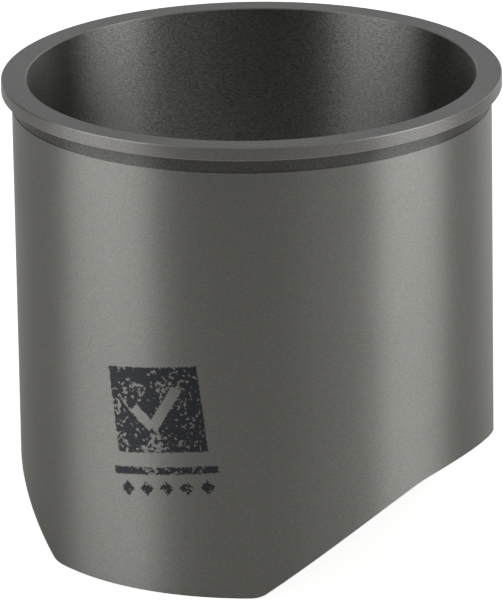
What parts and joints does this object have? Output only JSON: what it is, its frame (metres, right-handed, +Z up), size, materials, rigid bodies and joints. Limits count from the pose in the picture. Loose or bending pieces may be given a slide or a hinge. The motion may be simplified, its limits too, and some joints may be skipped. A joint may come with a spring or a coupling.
{
  "type": "cylinder liner",
  "caption": "Flanged cast-iron cylinder liner: a straight bored sleeve, relieved under its flange, with a skirt cut away along the crankshaft to clear the crank webs.",
  "frame": {"origin": "on the bore's axis, in the plane of the tongues' feet", "axes": "+Z up the bore towards the flange; +X along the crankshaft, the way the crank-web clearance is cut, so the tongues stand at -Y and +Y, the wider one at -Y"},
  "size_m": [0.1068, 0.1068, 0.1004],
  "materials": {
    "turned_iron": "satin, fine-turned outside and honed in the bore"
  },
  "bodies": {
    "root": {"cylinder_liner": "turned_iron"}
  },
  "joints": []
}
